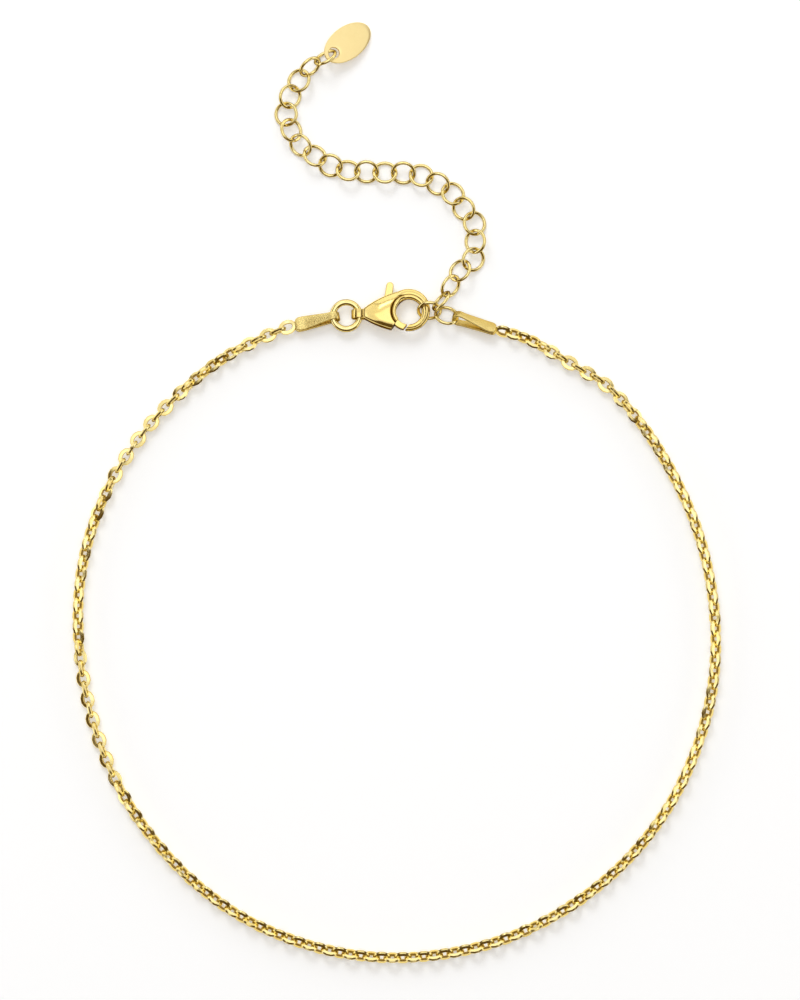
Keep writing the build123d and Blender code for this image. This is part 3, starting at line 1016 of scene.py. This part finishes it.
soften.width, soften.segments = gate_rim * MM, 3
soften.limit_method, soften.angle_limit = "ANGLE", math.radians(40)
soften.use_clamp_overlap = False
soften.harden_normals = True
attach(gate, "gate")
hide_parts("clasp_gate")
gate.data.materials.append(clasp_gold)
pin = frame["nodes"]["clasp_pin"]
pin.data.materials.clear()
pin.data.materials.append(clasp_gold)
print("faces of the gate:", len(gate.data.polygons))

# %% [markdown]
# ## Table and light
# Gold shows what stands round it, so the lights are placed by what they do in its reflections.
# A large soft box hangs overhead, with a brighter core. Low panels of light stand at the far
# side, at the left and at the right. The near side stays dark: gold needs something dark to
# reflect, and those dark lines are what makes it look polished. A key light gives the soft
# shadows on the near side. It would burn out in the metal, so it is left out of reflections,
# and a small weak spark beside it gives the glint instead.


# %% Lights
def soft_light(name, at, size, strength):
    """A rectangular light that faces the middle of the table. Its power is its brightness times
    pi times its area, so that strength is how bright it looks in a reflection."""
    data = bpy.data.lights.new(name, "AREA")
    data.shape, (data.size, data.size_y) = "RECTANGLE", size
    data.energy = strength * math.pi * size[0] * size[1]
    light = bpy.data.objects.new(name, data)
    light.location = at
    aim = -np.array(at)
    heading = math.atan2(aim[1], aim[0])
    lean = math.atan2(math.hypot(aim[0], aim[1]), -aim[2])
    light.rotation_euler = (lean, 0, heading - math.pi / 2)
    light.visible_camera = False
    bpy.context.scene.collection.objects.link(light)
    return light


LIGHTS = [  # name, place in metres, width and height in metres, and how bright it looks
    ("overhead_softbox", (0.0, 0.29, 1.25), (1.75, 1.8), 0.86),
    ("overhead_core", (0.0, 0.18, 1.25), (0.95, 0.75), 0.42),
    ("far_panel", (0.0, 1.25, 0.48), (2.6, 0.92), 1.10),
    ("left_panel", (-1.25, 0.0, 0.30), (2.2, 0.56), 1.25),
    ("right_panel", (1.25, 0.0, 0.30), (2.2, 0.56), 1.25),
    ("spark", (-0.25, 0.85, 0.95), (0.2, 0.2), 2.0),
    ("key", (-0.25, 0.90, 0.95), (0.50, 0.50), 6.0),
]
lights = {name: soft_light(name, at, size, strength) for name, at, size, strength in LIGHTS}
lights["key"].visible_glossy = False
print("lights:", list(lights))

# %% [markdown]
# The table is a white sheet that glows a little, so that it comes out as pure white as the
# paper under jewellery does. Far from the anklet it fades into the backdrop's colour, which
# hides its end. In the metal's reflections the sheet is warmer and a little darker, which keeps
# shaded facets golden: the Light Path node tells a look straight at the table from one by way
# of the metal. The room is handled in the same way, pale to look at and dark in reflections.

# %% The table
BACKDROP = (0.93, 0.93, 0.94)
FADE_FROM, FADE_TO = 0.25, 0.95  # metres from the middle of the table
half_table = 6.0
table_finish = Finish(bpy.data.materials.new("white_table"))
sheet_white = {
    "Base Color": (0.88, 0.92, 0.97, 1),
    "Roughness": 0.6,
    "Emission Color": (1.0, 1.0, 1.0, 1),
    "Emission Strength": 0.27,
}
sheet_warm = {
    "Base Color": (0.95, 0.88, 0.66, 1),
    "Roughness": 0.8,
    "Emission Color": (1.0, 0.92, 0.72, 1),
    "Emission Strength": 0.18,
}
near_sheet = table_finish.node("ShaderNodeBsdfPrincipled", {}, sheet_white, "BSDF")
reflected_sheet = table_finish.node("ShaderNodeBsdfPrincipled", {}, sheet_warm, "BSDF")
glow = {"Color": (*BACKDROP, 1), "Strength": 1.0}
far_sheet = table_finish.node("ShaderNodeEmission", {}, glow, "Emission")
place = table_finish.node("ShaderNodeTexCoord", {}, {}, "Object")
away = table_finish.node("ShaderNodeVectorMath", {"operation": "LENGTH"}, {0: place}, "Value")
fade = table_finish.node(
    "ShaderNodeMapRange",
    {"interpolation_type": "SMOOTHSTEP"},
    {"Value": away, "From Min": FADE_FROM, "From Max": FADE_TO},
    "Result",
)
seen_sheet = table_finish.choose(fade, near_sheet, far_sheet)
seen_straight = table_finish.node("ShaderNodeLightPath", {}, {}, "Is Camera Ray")
paper = table_finish.close(table_finish.choose(seen_straight, reflected_sheet, seen_sheet))
table_mesh = bpy.data.meshes.new("table")
corner_signs = [(-1, -1), (1, -1), (1, 1), (-1, 1)]
table_corners = [(half_table * x, half_table * y, 0) for x, y in corner_signs]
table_mesh.from_pydata(table_corners, [], [(0, 1, 2, 3)])
table = bpy.data.objects.new("table", table_mesh)
bpy.context.scene.collection.objects.link(table)
table.data.materials.append(paper)
print("table in metres:", 2 * half_table)

# %% The room
ROOM = (0.10, 0.058, 0.012)
world = bpy.data.worlds.new("room")
room_finish = Finish(world)
pale = room_finish.node("ShaderNodeBackground", {}, {"Color": (*BACKDROP, 1)}, "Background")
dark = room_finish.node("ShaderNodeBackground", {}, {"Color": (*ROOM, 1)}, "Background")
seen_straight = room_finish.node("ShaderNodeLightPath", {}, {}, "Is Camera Ray")
room_finish.close(room_finish.choose(seen_straight, dark, pale), "ShaderNodeOutputWorld")
bpy.context.scene.world = world
bpy.context.scene.view_settings.view_transform = "Standard"
print("nodes in the room:", len(world.node_tree.nodes))
